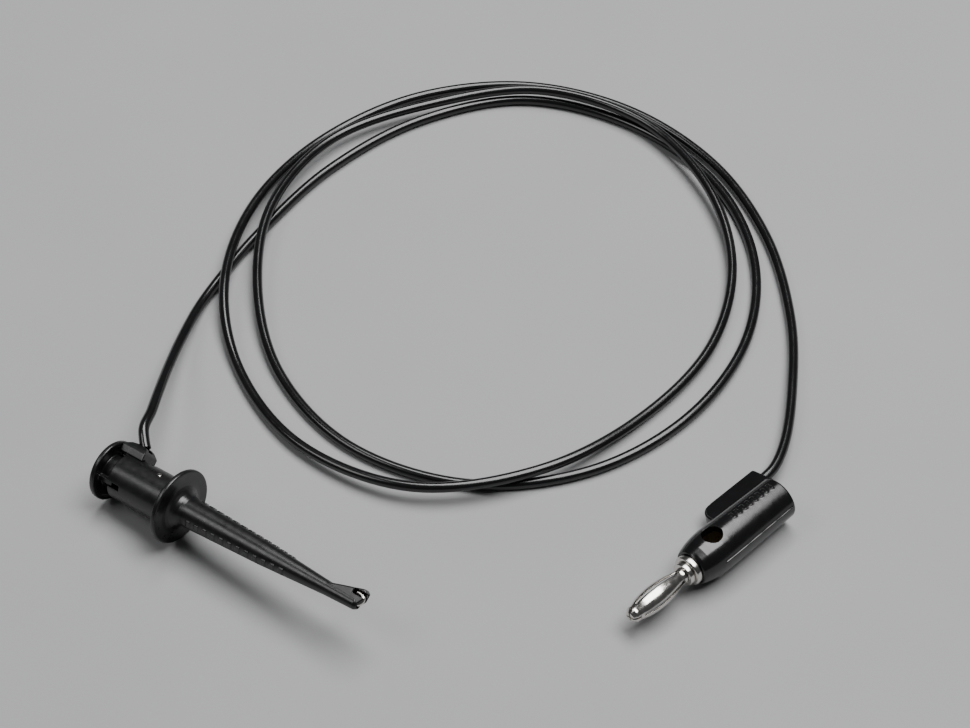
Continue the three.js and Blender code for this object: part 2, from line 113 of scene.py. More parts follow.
class Surface:
    """A Principled material and short ways to add texture nodes to it."""

    def __init__(self, name):
        self.material = bpy.data.materials.new(name)
        self.material.use_nodes = True
        self.nodes = self.material.node_tree.nodes
        self.links = self.material.node_tree.links
        self.shader = self.nodes["Principled BSDF"]
        self.place = self.nodes.new("ShaderNodeTexCoord").outputs["Object"]

    def set(self, **values):
        for key, value in values.items():
            self.shader.inputs[key.replace("_", " ")].default_value = value

    def noise(self, size_mm, detail=3.0, stretch=(1, 1, 1)):
        mapping = self.nodes.new("ShaderNodeMapping")
        mapping.inputs["Scale"].default_value = stretch
        self.links.new(self.place, mapping.inputs["Vector"])
        texture = self.nodes.new("ShaderNodeTexNoise")
        texture.inputs["Scale"].default_value = 1 / (size_mm * MM)
        texture.inputs["Detail"].default_value = detail
        self.links.new(mapping.outputs["Vector"], texture.inputs["Vector"])
        return texture.outputs["Fac"]

    def spread(self, value, low, high, start=0.3, end=0.7):
        """Maps a texture's middle range to low..high."""
        node = self.nodes.new("ShaderNodeMapRange")
        node.inputs["From Min"].default_value = start
        node.inputs["From Max"].default_value = end
        node.inputs["To Min"].default_value = low
        node.inputs["To Max"].default_value = high
        self.links.new(value, node.inputs["Value"])
        return node.outputs["Result"]

    def mixed(self, factor, first, second):
        node = self.nodes.new("ShaderNodeMix")
        node.data_type = "RGBA"
        node.inputs["A"].default_value = (*first, 1)
        node.inputs["B"].default_value = (*second, 1)
        self.links.new(factor, node.inputs["Factor"])
        return node.outputs["Result"]

    def bump(self, height, depth_mm, strength=1.0):
        """Adds relief on top of any that is there already."""
        node = self.nodes.new("ShaderNodeBump")
        node.inputs["Strength"].default_value = strength
        node.inputs["Distance"].default_value = depth_mm * MM
        self.links.new(height, node.inputs["Height"])
        normal = self.shader.inputs["Normal"]
        if normal.is_linked:
            self.links.new(normal.links[0].from_socket, node.inputs["Normal"])
        self.links.new(node.outputs["Normal"], normal)

    def feed(self, socket, value):
        self.links.new(value, self.shader.inputs[socket])


def moulded_plastic(name, smoothest, roughest):
    """Black moulded nylon, with a faint grain and slightly duller patches."""
    surface = Surface(name)
    surface.set(IOR=1.58)
    cloud = surface.noise(3.0, 4)
    surface.feed("Base Color", surface.mixed(cloud, (0.003, 0.003, 0.0033), (0.006, 0.006, 0.0066)))
    surface.feed("Roughness", surface.spread(surface.noise(1.2, 5), smoothest, roughest))
    surface.bump(surface.noise(0.22, 2), 0.004, 0.5)
    surface.bump(surface.noise(1.6, 2), 0.012, 0.35)
    return surface.material


def cord_jacket():
    """Soft black vinyl, satin, with the faint long waviness of an extruded jacket."""
    surface = Surface("cord_jacket")
    surface.set(IOR=1.56)
    cloud = surface.noise(6.0, 3)
    surface.feed("Base Color", surface.mixed(cloud, (0.003, 0.003, 0.0033), (0.007, 0.007, 0.0076)))
    surface.feed("Roughness", surface.spread(surface.noise(2.5, 4), 0.15, 0.22))
    surface.bump(surface.noise(0.15, 2), 0.003, 0.4)
    surface.bump(surface.noise(4.0, 2), 0.02, 0.3)
    return surface.material


def nickel_plate():
    """Bright nickel over turned and pressed brass, with fine turning marks."""
    surface = Surface("nickel_plate")
    surface.set(Metallic=1.0)
    cloud = surface.noise(1.5, 4)
    surface.feed("Base Color", surface.mixed(cloud, (0.60, 0.58, 0.54), (0.74, 0.72, 0.69)))
    surface.feed("Roughness", surface.spread(surface.noise(0.8, 4), 0.12, 0.24))
    surface.bump(surface.noise(0.08, 1, (1, 0.04, 0.04)), 0.002, 0.5)
    return surface.material


def bare_brass():
    # Unplated brass. Its colour is darkened well below clean brass as painted shade, so the core
    # seen inside the plug's cross hole looks shaded.
    surface = Surface("brass_bare")
    surface.set(Metallic=1.0)
    cloud = surface.noise(1.0, 4)
    surface.feed("Base Color", surface.mixed(cloud, (0.20, 0.15, 0.08), (0.34, 0.26, 0.14)))
    surface.feed("Roughness", surface.spread(surface.noise(0.6, 4), 0.25, 0.42))
    surface.bump(surface.noise(0.10, 1, (1, 0.05, 0.05)), 0.003, 0.6)
    return surface.material


def copper_strand():
    surface = Surface("copper_strand")
    surface.set(Metallic=1.0)
    cloud = surface.noise(0.5, 3)
    surface.feed("Base Color", surface.mixed(cloud, (0.62, 0.36, 0.24), (0.72, 0.62, 0.52)))
    surface.feed("Roughness", surface.spread(surface.noise(0.3, 3), 0.28, 0.45))
    surface.bump(surface.noise(0.2, 2), 0.004, 0.5)
    return surface.material


def spring_steel():
    surface = Surface("spring_steel")
    surface.set(Metallic=1.0)
    cloud = surface.noise(0.7, 3)
    surface.feed("Base Color", surface.mixed(cloud, (0.36, 0.36, 0.37), (0.52, 0.52, 0.54)))
    surface.feed("Roughness", surface.spread(surface.noise(0.4, 3), 0.22, 0.38))
    surface.bump(surface.noise(0.1, 2), 0.002, 0.5)
    return surface.material


def table_top():
    """Pale grey, plain and almost matt."""
    surface = Surface("table_top")
    cloud = surface.noise(40.0, 4)
    surface.feed("Base Color", surface.mixed(cloud, (0.31, 0.31, 0.315), (0.34, 0.34, 0.345)))
    surface.set(Roughness=0.7)
    surface.bump(surface.noise(0.8, 3), 0.01, 0.4)
    return surface.material


CLIP_PLASTIC = moulded_plastic("clip_plastic", 0.26, 0.36)
PLUG_PLASTIC = moulded_plastic("plug_plastic", 0.15, 0.22)
JACKET = cord_jacket()
NICKEL = nickel_plate()
BRASS = bare_brass()
COPPER = copper_strand()
STEEL = spring_steel()


def add_table():
    half = 1.6
    mesh = bpy.data.meshes.new("table")
    corners = [(-half, -half, 0), (half, -half, 0), (half, half, 0), (-half, half, 0)]
    mesh.from_pydata(corners, [], [(0, 1, 2, 3)])
    mesh.materials.append(table_top())
    table = bpy.data.objects.new("table", mesh)
    bpy.context.scene.collection.objects.link(table)


# ---------------------------------------------------------------- cord

CORD_DIAMETER = 2.0
CORD_ROUTE = [
    (-53.72, 17.03, 9.23), (-54, 18.14, 9.58),
    (-54.35, 21, 10.25), (-53.5, 25.5, 9.7), (-52.8, 32, 8.3),
    (-52, 40.5, 5.7), (-50.5, 50.5, 3.1), (-48, 60.5, 1.4), (-43.5, 70.5, 1.1),
    (-38, 80.5, 1.05), (-24.5, 99.5, 1.05), (-6, 114.5, 1.05), (16, 121, 1.05),
    (38, 113.5, 1.05), (54.5, 96.5, 1.05), (61.5, 74.5, 1.05), (58.5, 51.5, 1.05),
    (46, 31.5, 1.05), (27, 18.5, 1.05), (4, 15.5, 1.05), (-17.5, 24.5, 1.1),
    (-31.5, 42.5, 1.3), (-37, 64, 2.6), (-35.5, 86.5, 3.4), (-24, 107, 2.8),
    (-3, 118, 2.8), (19.5, 121.5, 3.4), (40.5, 112, 3.4), (53, 93, 3.2),
    (57, 71.5, 2), (51.5, 49.5, 1.3), (37, 31, 1.4), (17.5, 17, 3.1),
    (-5.5, 13, 3.3), (-26.5, 24, 1.9), (-39.5, 44, 1.4), (-43.5, 64.5, 3.4),
    (-39, 88, 2.7), (-26, 108.5, 1.4), (-6.5, 122, 1.1), (16.5, 125.5, 1.05),
    (38, 118, 1.05), (55, 101.5, 1.05), (64.5, 80, 1.1), (67.5, 56.5, 1.3),
    (66, 37.5, 1.9), (63.5, 24.5, 2.3), (61, 18.3, 2.4),
    (58.95, 15.79, 2.4), (58.16, 15.04, 2.39),
]
ROUTE_STEPS = 12


def smooth_line(points, steps):
    """Points along a centripetal Catmull-Rom curve through the given points."""
    knots = [Vector(point) for point in points]
    knots = [2 * knots[0] - knots[1], *knots, 2 * knots[-1] - knots[-2]]
    line = []
    for p0, p1, p2, p3 in zip(knots, knots[1:], knots[2:], knots[3:]):
        d0, d1, d2 = (math.sqrt((b - a).length) for a, b in ((p0, p1), (p1, p2), (p2, p3)))
        leave = ((p1 - p0) / d0 - (p2 - p0) / (d0 + d1) + (p2 - p1) / d1) * d1
        arrive = ((p2 - p1) / d1 - (p3 - p1) / (d1 + d2) + (p3 - p2) / d2) * d1
        for i in range(steps):
            t = i / steps
            line.append(
                (2 * t**3 - 3 * t**2 + 1) * p1
                + (t**3 - 2 * t**2 + t) * leave
                + (3 * t**2 - 2 * t**3) * p2
                + (t**3 - t**2) * arrive
            )
    line.append(knots[-2])
    return line


def add_cord():
    line = [point * MM for point in smooth_line(CORD_ROUTE, ROUTE_STEPS)]
    data = bpy.data.curves.new("cord", "CURVE")
    data.dimensions = "3D"
    data.bevel_depth = CORD_DIAMETER / 2 * MM
    data.bevel_resolution = 6
    data.use_fill_caps = True
    spline = data.splines.new("POLY")
    spline.points.add(len(line) - 1)
    for spot, point in zip(spline.points, line):
        spot.co = (*point, 1)
    spline.use_smooth = True
    data.materials.append(JACKET)
    cord = bpy.data.objects.new("cord", data)
    bpy.context.scene.collection.objects.link(cord)
    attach(cord, LEAD)
    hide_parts("test_cord")


# ---------------------------------------------------------------- shaping, in millimetres

FILLET_STEPS = 5
DOME_STEPS = 4
GAP = 0.06


def place_of(mount_name, facing, along, roll, offset):
    """The placing of an end, from a mount on it. Its X axis is the mount's axis, or the reverse
    of it; along and offset say where the mount sits in that end's own frame."""
    mount = MOUNTS[mount_name]
    forward = facing * Vector(mount["axis"])
    heading = math.atan2(forward.y, forward.x)
    turn = Euler((math.radians(roll), -math.asin(forward.z), heading), "XYZ").to_matrix()
    origin = Vector(mount["pos_m"]) - turn @ Vector((along * MM, 0, offset * MM))
    return Matrix.Translation(origin) @ turn.to_4x4()


CAP_REAR = -16.7
BODY_REAR = 38.6
CLIP_PLACE = place_of("thumb_cap_face", facing=-1, along=CAP_REAR, roll=30, offset=0)
PLUG_PLACE = place_of("stack_jack_face", facing=1, along=BODY_REAR, roll=-19, offset=3.0)


def new_object(name, shape):
    mesh = bpy.data.meshes.new(name)
    shape.to_mesh(mesh)
    shape.free()
    piece = bpy.data.objects.new(name, mesh)
    bpy.context.scene.collection.objects.link(piece)
    return piece


def rounded(profile):
    """Rounds each [x, r, fillet] corner of a profile whose fillet isn't 0."""
    line = []
    for i, (x, r, fillet) in enumerate(profile):
        here = Vector((x, r))
        if fillet == 0 or i in (0, len(profile) - 1):
            line.append(here)
            continue
        before = (Vector(profile[i - 1][:2]) - here).normalized()
        after = (Vector(profile[i + 1][:2]) - here).normalized()
        half = math.acos(max(-1, min(1, before.dot(after)))) / 2
        reach = fillet / math.tan(half)
        middle = here + (before + after).normalized() * fillet / math.sin(half)
        start, end = here + before * reach - middle, here + after * reach - middle
        sweep = start.angle_signed(end)
        for k in range(FILLET_STEPS + 1):
            line.append(middle + Matrix.Rotation(-sweep * k / FILLET_STEPS, 2) @ start)
    return [(point.x, point.y) for point in line]


def lathe(name, profile, sides=96, hollow=False):
    """A part turned about X. A hollow profile closes on itself, and any other on the axis."""
    shape = bmesh.new()
    rings = []
    for x, r in profile:
        if r < 1e-6:
            rings.append([shape.verts.new((x, 0, 0))])
            continue
        ring = []
        for k in range(sides):
            angle = 2 * math.pi * k / sides
            ring.append(shape.verts.new((x, r * math.cos(angle), r * math.sin(angle))))
        rings.append(ring)
    pairs = list(zip(rings, rings[1:]))
    if hollow:
        pairs.append((rings[-1], rings[0]))
    for first, second in pairs:
        for k in range(sides):
            n = (k + 1) % sides
            if len(first) == 1:
                shape.faces.new((first[0], second[n], second[k]))
            elif len(second) == 1:
                shape.faces.new((first[k], first[n], second[0]))
            else:
                shape.faces.new((first[k], first[n], second[n], second[k]))
    if not hollow:
        for ring in (rings[0], rings[-1]):
            if len(ring) > 1:
                shape.faces.new(ring)
    bmesh.ops.recalc_face_normals(shape, faces=shape.faces)
    return new_object(name, shape)


def block(name, low, high, round_by=0.0, angle=0.0):
    """A box between two corners, with rounded edges, turned about X by an angle from +Y."""
    shape = bmesh.new()
    bmesh.ops.create_cube(shape, size=1)
    low, high = Vector(low), Vector(high)
    for vertex in shape.verts:
        share = vertex.co + Vector((0.5, 0.5, 0.5))
        vertex.co = [a + (b - a) * s for a, b, s in zip(low, high, share)]
    if round_by:
        bmesh.ops.bevel(shape, geom=shape.edges, offset=round_by, segments=3, affect="EDGES")
    bmesh.ops.rotate(shape, verts=shape.verts, matrix=Matrix.Rotation(math.radians(angle), 3, "X"))
    return new_object(name, shape)


def prism(name, outline, half, round_by=0.0):
    """An XY outline with a thickness of twice half, about z = 0."""
    shape = bmesh.new()
    base = [shape.verts.new((x, y, -half)) for x, y in outline]
    face = shape.faces.new(base)
    grown = bmesh.ops.extrude_face_region(shape, geom=[face])
    raised = [item for item in grown["geom"] if isinstance(item, bmesh.types.BMVert)]
    bmesh.ops.translate(shape, verts=raised, vec=(0, 0, 2 * half))
    bmesh.ops.recalc_face_normals(shape, faces=shape.faces)
    if round_by:
        flat = [edge for edge in shape.edges if abs(edge.verts[0].co.z - edge.verts[1].co.z) < 1e-6]
        bmesh.ops.bevel(shape, geom=flat, offset=round_by, segments=4, affect="EDGES")
    return new_object(name, shape)


def rod(name, start, end, radius, sides=48, wide_end=None):
    """A round bar, or a cone where wide_end gives another radius at its end."""
    a, b = Vector(start), Vector(end)
    shape = bmesh.new()
    bmesh.ops.create_cone(
        shape,
        cap_ends=True,
        segments=sides,
        radius1=radius,
        radius2=radius if wide_end is None else wide_end,
        depth=(b - a).length,
    )
    turn = (b - a).to_track_quat("Z", "Y").to_matrix().to_4x4()
    bmesh.ops.transform(shape, verts=shape.verts, matrix=Matrix.Translation((a + b) / 2) @ turn)
    return new_object(name, shape)


def radial_rod(name, x, angle, inner, outer, radius, wide_end=None):
    out = Vector((0, math.cos(math.radians(angle)), math.sin(math.radians(angle))))
    across = Vector((x, 0, 0))
    return rod(name, across + inner * out, across + outer * out, radius, 48, wide_end)


def swept(name, line, radius, sides):
    """A round wire along a line of points, with domed ends."""
    line = [Vector(point) for point in line]
    first, last = (line[1] - line[0]).normalized(), (line[-1] - line[-2]).normalized()
    stations = [(line[0], first, radius)]
    stations += [
        (line[i], (line[i + 1] - line[i - 1]).normalized(), radius)
        for i in range(1, len(line) - 1)
    ]
    stations.append((line[-1], last, radius))
    for i in range(1, DOME_STEPS):
        swing = math.pi / 2 * i / DOME_STEPS
        cap = (radius * math.sin(swing), radius * math.cos(swing))
        stations.insert(0, (line[0] - cap[0] * first, first, cap[1]))
        stations.append((line[-1] + cap[0] * last, last, cap[1]))
    shape = bmesh.new()
    side = first.orthogonal().normalized()
    rings = []
    for centre, along, size in stations:
        side = (side - along * side.dot(along)).normalized()
        up = along.cross(side)
        ring = []
        for k in range(sides):
            angle = 2 * math.pi * k / sides
            out = math.cos(angle) * side + math.sin(angle) * up
            ring.append(shape.verts.new(centre + size * out))
        rings.append(ring)
    for a, b in zip(rings, rings[1:]):
        for k in range(sides):
            n = (k + 1) % sides
            shape.faces.new((a[k], a[n], b[n], b[k]))
    shape.faces.new(rings[0])
    shape.faces.new(rings[-1])
    bmesh.ops.recalc_face_normals(shape, faces=shape.faces)
    return new_object(name, shape)


def bake(piece):
    """Applies the piece's modifiers to its mesh."""
    view_layer = bpy.context.view_layer
    view_layer.update()
    ready = piece.evaluated_get(bpy.context.evaluated_depsgraph_get())
    mesh = bpy.data.meshes.new_from_object(ready)
    piece.modifiers.clear()
    piece.data = mesh


def combine(base, others, operation):
    for other in others:
        modifier = base.modifiers.new("combine", "BOOLEAN")
        modifier.operation = operation
        modifier.solver = "MANIFOLD"
        modifier.object = other
    bake(base)
    for other in others:
        bpy.data.objects.remove(other)


def join(base, *others):
    combine(base, others, "UNION")


def cut(base, *others):
    combine(base, others, "DIFFERENCE")


def mould(piece, grain, smoothing, keep):
    """Remeshes a piece finely, softens its edges as a moulding's are, and thins its faces."""
    remesh = piece.modifiers.new("remesh", "REMESH")
    remesh.mode = "VOXEL"
    remesh.voxel_size = grain
    smooth = piece.modifiers.new("smooth", "SMOOTH")
    smooth.factor = 0.5
    smooth.iterations = smoothing
    thin = piece.modifiers.new("thin", "DECIMATE")
    thin.ratio = keep
    bake(piece)


def soften(piece, width):
    """Rounds a machined piece's sharp edges."""
    bevel = piece.modifiers.new("edges", "BEVEL")
    bevel.width = width
    bevel.segments = 2
    bevel.limit_method = "ANGLE"
    bevel.angle_limit = math.radians(35)
    bake(piece)


def finish_piece(piece, place, material, body, nodes, crisp=40):
    """Scales a piece from millimetres, gives it its material, puts it in the frame, and hides the
    CAD nodes that it stands for.
    """
    piece.data.transform(Matrix.Scale(MM, 4))
    piece.data.materials.clear()
    piece.data.materials.append(material)
    for face in piece.data.polygons:
        face.use_smooth = True
    if crisp:
        piece.data.set_sharp_from_angle(angle=math.radians(crisp))
    piece.matrix_world = place
    if body:
        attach(piece, body)
    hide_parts(*nodes)


# ---------------------------------------------------------------- hook clip

TRAVEL = 1.9
FLANGE_R = 7.15
FLANGE_HALF = 0.5
BARREL_R = 4.35
BARREL_REAR = -13.6
BARREL_BORE = 3.35
BARREL_BORE_END = -1.6
SPRING_BORE = 1.8
SPRING_SEAT = 5.5
ROD_BORE = 0.62
NOSE_ROOT_R = 2.9
NOSE_COVE = 2.2
NOSE_MID = (20, 2.2)
NOSE_NECK = (34.3, 1.3)
NOSE_TIP = 41.2
GRIP_ANGLES = (0, 139)
GRIP_RIBS = 12
GRIP_FIRST = 4.1
GRIP_PITCH = 1.88
GRIP_LENGTH = 1.0
GRIP_HALF = 0.7
GRIP_HEIGHT = 0.12
SEAM = 0.2
SEAM_HALF = 0.2
CAP_R = 5.75
CAP_FRONT = -15.6
STEM_R = 3.2
STEM_FRONT = -3.6
RAIL_ANGLES = (126, -126)
RAIL_END = -12.7
RAIL_HALF = 0.5
SLOT_END = -10.74
BOSS_SLOT_END = -8.1
BOSS_HALF = 2.3
BOSS_NECK = 1.3
BOSS_DOME_Y = 4.0
BOSS_DOME_R = 2.6
WIRE_MOUTH = (-12.75, 6.8)
WIRE_LEAN = 45
WIRE_HOLE_R = 0.8
CORD_HOLE_R = 1.04
SOLDER_X = -11.3
PIN_X = -4.9
PIN_ANGLE = 43
PIN_R = 0.45
PIN_FROM = 2.45
PIN_TO = 4.5
HOOK_R = 0.42
HOOK_REAR = -12.2
HOOK_STEPS = 30
HOOK_BEND = 0.95
HOOK_BEND_AT = 40.55
HOOK_BEND_STEPS = 16
HOOK_TAIL = 1.1
SPRING_TURNS = 8
SPRING_TURN_STEPS = 24
SPRING_R = 1.28
SPRING_WIRE_R = 0.2
SPRING_REAR = -3.1
SPRING_FRONT = 5.24
BEAK = [(33.5, 0), (34.3, 1.0), (36.5, 1.65), (41.3, 2.95), (41.9, 2.5), (41.9, 1.1), (41.2, 0)]
BEAK_HALF = 0.95
BOSS_CORNERS = [
    (-15.5, 3.4, 0), (-15.5, 5.4, 0.5), (-14.4, 6.2, 0.7), (-12.4, 6.6, 1.0),
    (-11.0, 6.2, 0.8), (-10.2, 5.3, 0.5), (-10.1, 3.4, 0),
]


def nose_radius(x):
    """The nose tapers in two steps."""
    start, end = ((0, NOSE_ROOT_R), NOSE_MID) if x < NOSE_MID[0] else (NOSE_MID, NOSE_NECK)
    return start[1] + (x - start[0]) / (end[0] - start[0]) * (end[1] - start[1])


def nose_ribs():
    """Rows of plain grip ribs along the nose."""
    ribs = []
    for angle in GRIP_ANGLES:
        for i in range(GRIP_RIBS):
            x = GRIP_FIRST + GRIP_PITCH * i
            skin = nose_radius(x + GRIP_LENGTH / 2)
            low = (x, skin - 0.6, -GRIP_HALF)
            high = (x + GRIP_LENGTH, skin + GRIP_HEIGHT, GRIP_HALF)
            ribs.append(block("rib", low, high, 0.08, angle))
    return ribs


def add_nose_sleeve():
    sleeve = lathe("nose_sleeve_skin", rounded([
        (BARREL_REAR, 0, 0),
        (BARREL_REAR, BARREL_R, 0.22),
        (-FLANGE_HALF, BARREL_R, 0.35),
        (-FLANGE_HALF, FLANGE_R, 0.32),
        (FLANGE_HALF, FLANGE_R, 0.32),
        (FLANGE_HALF, NOSE_ROOT_R, NOSE_COVE),
        (*NOSE_MID, 0),
        (*NOSE_NECK, 0),
        (40.6, 1.12, 0),
        (NOSE_TIP, 0.8, 0),
        (NOSE_TIP, 0, 0),
    ]))
    seam_low = (BOSS_SLOT_END - 2, BARREL_R - 0.3, -SEAM_HALF)
    seam = block("seam", seam_low, (0, BARREL_R + SEAM, SEAM_HALF), 0, 180)
    join(sleeve, prism("beak", BEAK, BEAK_HALF, 0.12), seam, *nose_ribs())
    bores = lathe("bores", [
        (BARREL_REAR - 1, BARREL_BORE),
        (BARREL_BORE_END, BARREL_BORE),
        (BARREL_BORE_END, SPRING_BORE),
        (SPRING_SEAT, SPRING_BORE),
        (SPRING_SEAT, ROD_BORE),
        (44, ROD_BORE),
    ])
    openings = [(SLOT_END, RAIL_HALF + GAP, angle) for angle in RAIL_ANGLES]
    openings.append((BOSS_SLOT_END, BOSS_NECK + GAP, 0))
    slots = [
        block("slot", (BARREL_REAR - 1, 2.75, -half), (end, 5.4, half), 0, angle)
        for end, half, angle in openings
    ]
    pin_hole = radial_rod("pin_hole", PIN_X, PIN_ANGLE, 3, 6, PIN_R + 0.04)
    mouth = HOOK_R + GAP
    reach = HOOK_BEND_AT + HOOK_BEND
    room = block(
        "room", (reach - mouth, -mouth, -mouth), (reach + 3, 2 * HOOK_BEND + mouth, mouth))
    groove = block(
        "groove",
        (HOOK_BEND_AT - HOOK_TAIL - GAP, 2 * HOOK_BEND - mouth, -mouth),
        (reach + 3, 2 * HOOK_BEND + mouth, BEAK_HALF + 1),
    )
    cut(sleeve, bores, *slots, pin_hole, room, groove)
    mould(sleeve, 0.075, 3, 0.5)
    finish_piece(
        sleeve, CLIP_PLACE, CLIP_PLASTIC, SLEEVE, ["nose_sleeve"], crisp=0)


def add_thumb_plunger():
    plunger = lathe("thumb_plunger_skin", rounded([
        (CAP_REAR + 0.25, 0, 0),
        (CAP_REAR + 0.25, 3.6, 0.3),
        (CAP_REAR, 4.1, 0.15),
        (CAP_REAR, CAP_R, 0.42),
        (CAP_FRONT, CAP_R, 0.25),
        (CAP_FRONT, CAP_R - 0.8, 0.08),
        (CAP_FRONT - 0.35, CAP_R - 0.95, 0.08),
        (CAP_FRONT - 0.35, STEM_R, 0.2),
        (STEM_FRONT, STEM_R, 0.15),
        (STEM_FRONT, 0.75, 0.05),
        (-8, 0.75, 0),
        (-8, 1.7, 0),
        (-13.5, 1.7, 0),
        (-13.5, 0, 0),
    ]))
    rails = [
        block("rail", (CAP_FRONT - 0.5, 2.6, -RAIL_HALF), (RAIL_END, 4.0, RAIL_HALF), 0.08, angle)
        for angle in RAIL_ANGLES
    ]
    join(plunger, *rails)
    wire_hole = rod("wire_hole", (SOLDER_X, 0, 0), (SOLDER_X, 5, 0), WIRE_HOLE_R)
    groove = block(
        "groove",
        (PIN_X - PIN_R - TRAVEL - GAP, 2.39, -PIN_R - GAP),
        (PIN_X + PIN_R + GAP, 4.5, PIN_R + GAP),
        0,
        PIN_ANGLE,
    )
    cut(plunger, wire_hole, groove)
    mould(plunger, 0.075, 3, 0.5)
    finish_piece(
        plunger, CLIP_PLACE, CLIP_PLASTIC, LEAD, ["thumb_plunger"], crisp=0)


def add_wire_boss():
    lean = Vector((-math.sin(math.radians(WIRE_LEAN)), math.cos(math.radians(WIRE_LEAN)), 0))
    mouth = Vector((*WIRE_MOUTH, 0))
    outline = rounded(BOSS_CORNERS)
    boss = prism("wire_boss_skin", outline, BOSS_HALF)
    cut(boss, rod("barrel", (-18, 0, 0), (0, 0, 0), BARREL_R + 0.1, 96))
    neck = prism("neck", outline, BOSS_NECK)
    cut(neck, rod("stem", (-18, 0, 0), (0, 0, 0), STEM_R + GAP, 96))
    join(boss, neck)
    dome = rod("dome", (-18, BOSS_DOME_Y, 0), (0, BOSS_DOME_Y, 0), BOSS_DOME_R, 96)
    combine(boss, [dome], "INTERSECT")
    channel = rod("channel", mouth - 2.1 * lean, mouth + 2 * lean, CORD_HOLE_R)
    wire_hole = rod("wire_hole", (SOLDER_X, 2, 0), (SOLDER_X, 5.6, 0), WIRE_HOLE_R)
    cut(boss, channel, wire_hole)
    mould(boss, 0.07, 12, 0.6)
    finish_piece(boss, CLIP_PLACE, CLIP_PLASTIC, LEAD, ["wire_boss"], crisp=0)


def add_hook_rod():
    shank = HOOK_BEND_AT - HOOK_REAR
    line = [(HOOK_REAR + shank * i / HOOK_STEPS, 0, 0) for i in range(HOOK_STEPS + 1)]
    for i in range(1, HOOK_BEND_STEPS + 1):
        angle = -math.pi / 2 + math.pi * i / HOOK_BEND_STEPS
        line.append((
            HOOK_BEND_AT + HOOK_BEND * math.cos(angle), HOOK_BEND + HOOK_BEND * math.sin(angle), 0))
    line.append((HOOK_BEND_AT - HOOK_TAIL / 2, 2 * HOOK_BEND, 0))
    hook = swept("hook_rod_wire", line, HOOK_R, 20)
    finish_piece(hook, CLIP_PLACE, NICKEL, LEAD, ["hook_rod"])


def add_return_spring():
    """An evenly wound spring between the two bodies, attached to neither of them."""
    line = []
    steps = SPRING_TURN_STEPS * SPRING_TURNS
    for i in range(steps + 1):
        share = i / steps
        angle = 2 * math.pi * SPRING_TURNS * share
        x = SPRING_REAR + share * (SPRING_FRONT - SPRING_REAR)
        line.append((x, SPRING_R * math.cos(angle), SPRING_R * math.sin(angle)))
    spring = swept("return_spring_wire", line, SPRING_WIRE_R, 12)
    finish_piece(spring, CLIP_PLACE, STEEL, None, ["return_spring"])
    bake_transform(spring)


def add_stop_pin():
    pin = radial_rod("stop_pin_skin", PIN_X, PIN_ANGLE, PIN_FROM, PIN_TO, PIN_R)
    soften(pin, 0.2)
    finish_piece(pin, CLIP_PLACE, NICKEL, SLEEVE, ["stop_pin"])


# ---------------------------------------------------------------- banana plug

JACK_R = 2.05
CROSS_HOLE_X = 21.1
CROSS_HOLE_R = 1.95
CROSS_HOLE_ANGLE = 100
CORE_R = 2.9
CORE_STEP = 17.0
CORE_NOSE_R = 2.4
CORE_REAR = 34.5
SHANK_R = 0.9
SHANK_END = 18.1
CHANNEL_Y = 6.2
CHANNEL_R = 1.08
CONDUCTOR_X = 33.9
LEAF_WALL = 0.26
FIN_HALF = 1.6
FIN_REACH = 8.3
FIN_FROM = 26.2
FIN_TO = 41.0
FIN_CORNER = 3
FIN_REAR_CORNER = 0.5
FIN_NOTCH = 3.2
BODY_FRONT = 15.5
BODY_WIDEST = 22.6
BODY_R = 4.42
BODY_REAR_R = 4.1
SLOT_ANGLES = (0, 90)
RIB_COUNT = 8
RIB_FIRST = 26.4
RIB_PITCH = 1.4
RIB_LENGTH = 0.7
RIB_HALF = 0.8
RIB_HEIGHT = 0.14
RIB_ANGLE = 97
LEAVES = [(1.4, 1.5), (3.4, 2.05), (6.4, 2.3), (9.4, 2.05), (12.3, 1.5), (13.1, 1.5)]


def fin_outline():
    """The fin from the side: a round front corner, and a notch behind the round body."""
    line = [(FIN_FROM, 0)]
    for i in range(13):
        angle = math.pi - math.pi / 2 * i / 12
        x = FIN_FROM + FIN_CORNER + FIN_CORNER * math.cos(angle)
        line.append((x, FIN_REACH - FIN_CORNER + FIN_CORNER * math.sin(angle)))
    for i in range(5):
        angle = math.pi / 2 - math.pi / 2 * i / 4
        x = FIN_TO - FIN_REAR_CORNER + FIN_REAR_CORNER * math.cos(angle)
        line.append((x, FIN_REACH - FIN_REAR_CORNER + FIN_REAR_CORNER * math.sin(angle)))
    line += [(FIN_TO, FIN_NOTCH), (BODY_REAR - 0.2, FIN_NOTCH), (BODY_REAR - 0.2, 0)]
    return line


def body_ribs():
    """A row of plain ribs along the top of the round body, beside the fin."""
    taper = (BODY_R - BODY_REAR_R) / (BODY_REAR - BODY_WIDEST)
    ribs = []
    for i in range(RIB_COUNT):
        x = RIB_FIRST + RIB_PITCH * i
        skin = BODY_R - taper * (x - BODY_WIDEST)
        low = (x, skin - 0.4, -RIB_HALF)
        high = (x + RIB_LENGTH, skin + RIB_HEIGHT, RIB_HALF)
        ribs.append(block("rib", low, high, 0.1, RIB_ANGLE))
    return ribs


